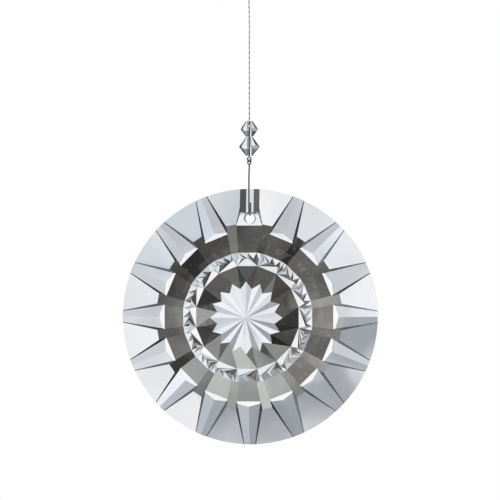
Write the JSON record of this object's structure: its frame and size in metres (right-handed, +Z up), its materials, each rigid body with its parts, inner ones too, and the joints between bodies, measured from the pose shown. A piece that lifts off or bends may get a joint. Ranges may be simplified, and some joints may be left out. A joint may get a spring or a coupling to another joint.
{
  "type": "crystal suncatcher",
  "caption": "Hanging suncatcher: a cut crystal disc with radial facets on a wire hook, under bicone beads and a thin cord with a loop.",
  "frame": {"origin": "inside top of the cord's hanging loop, where the nail or hook that holds the suncatcher bears", "axes": "+Z up; the disc hangs in the XZ plane and its front faces -Y"},
  "size_m": [0.076, 0.0218, 0.1492],
  "materials": {
    "crystal": "polished",
    "bead_crystal": "polished",
    "steel_wire": "satin",
    "cord": "twisted thread"
  },
  "bodies": {
    "root": {"crystal_disc": "crystal", "hook_wire": "steel_wire", "eye_pin": "steel_wire", "lower_bead": "bead_crystal", "upper_bead": "bead_crystal", "hanging_cord": "cord"}
  },
  "joints": []
}
